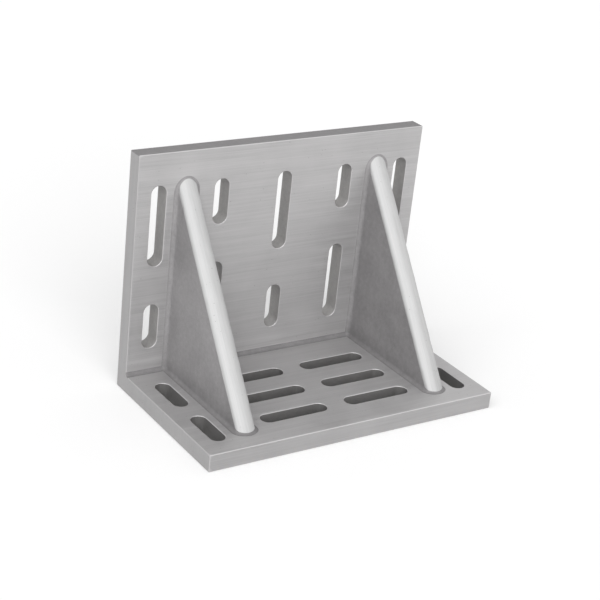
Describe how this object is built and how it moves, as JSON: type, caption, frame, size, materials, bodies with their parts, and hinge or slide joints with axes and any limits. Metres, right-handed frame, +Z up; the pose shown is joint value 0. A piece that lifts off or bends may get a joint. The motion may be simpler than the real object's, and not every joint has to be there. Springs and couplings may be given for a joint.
{
  "type": "angle plate",
  "caption": "Cast iron angle plate with a slotted base and a slotted upright wall at a right angle, stiffened by triangular ribs, for bolting work square to a machine table.",
  "frame": {"origin": "middle of the base's underside, at half the length and half the depth", "axes": "+X along the length, +Y from the front edge of the base to the back face of the wall, +Z up"},
  "size_m": [0.4064, 0.229, 0.3048],
  "materials": {
    "casting": "grey cast iron with machined outer faces and edges, as-cast ribs and fillets"
  },
  "bodies": {
    "root": {"angle_plate": "casting"}
  },
  "joints": []
}
